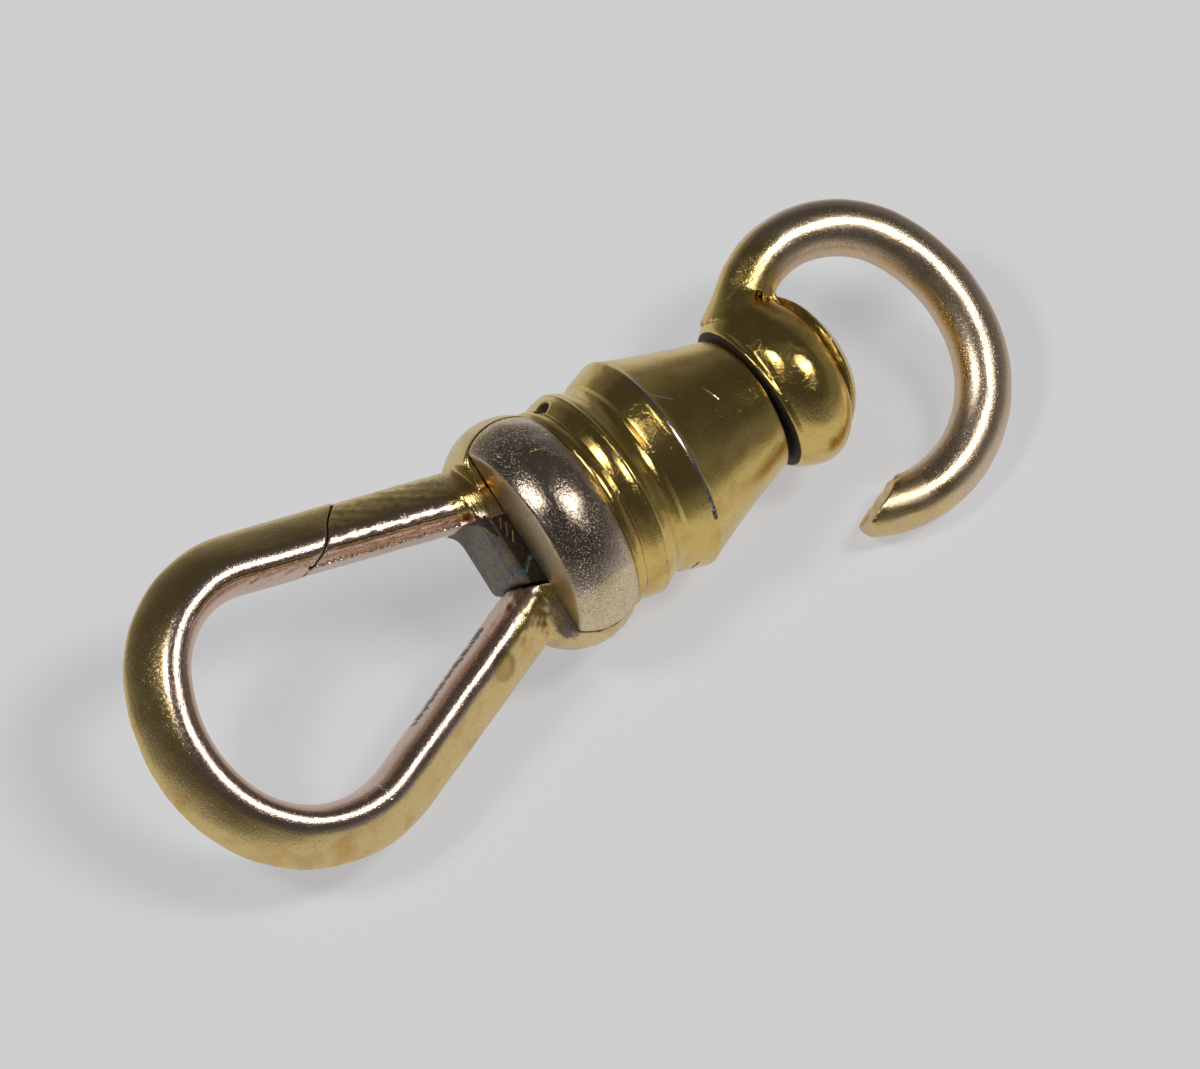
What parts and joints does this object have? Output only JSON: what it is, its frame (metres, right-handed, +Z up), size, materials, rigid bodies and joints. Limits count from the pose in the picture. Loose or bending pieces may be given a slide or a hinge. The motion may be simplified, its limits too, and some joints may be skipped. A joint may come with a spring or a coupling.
{
  "type": "dog clip clasp",
  "caption": "Small watch-chain dog clip: a pear-shaped loop with a sprung gate, a turned barrel with a collar, and a swivelling wire hook with a cut open end.",
  "frame": {"origin": "middle of the clasp's footprint, on the flat surface that it rests on", "axes": "+X runs along the clasp from the loop's far end to the swivel hook, level; +Y lies level, on the gate's side; +Z is up"},
  "size_m": [0.0286, 0.0096, 0.0071],
  "materials": {
    "gold_shell": "worn, gold layer over brass",
    "worn_gold": "worn through to a grey-rose base metal",
    "rose_gold": "polished, worn",
    "pin_brass": "satin",
    "spring_steel": "satin"
  },
  "bodies": {
    "body": {"barrel": "gold_shell", "collar": "worn_gold", "fixed_hook": "gold_shell", "gate_pin": "pin_brass", "gate_spring": "spring_steel"},
    "gate": {"gate": "gold_shell"},
    "swivel": {"swivel_hook": "rose_gold", "rivet_washer": "pin_brass"}
  },
  "joints": [
    {"name": "gate_hinge", "type": "hinge", "parent": "body", "child": "gate", "pos_m": [-0.00054, 0.00205, 0.0044], "axis": [0.0519, -0.4412, 0.8959], "range_deg": [0, 22], "stiffness_Nm_per_rad": 0.0002, "springref_deg": -17.19, "deforming": ["gate_spring"]},
    {"name": "swivel_spin", "type": "hinge", "parent": "body", "child": "swivel", "pos_m": [0.00614, 0.0003, 0.00315], "axis": [0.9983, 0, -0.0578], "continuous": true}
  ]
}
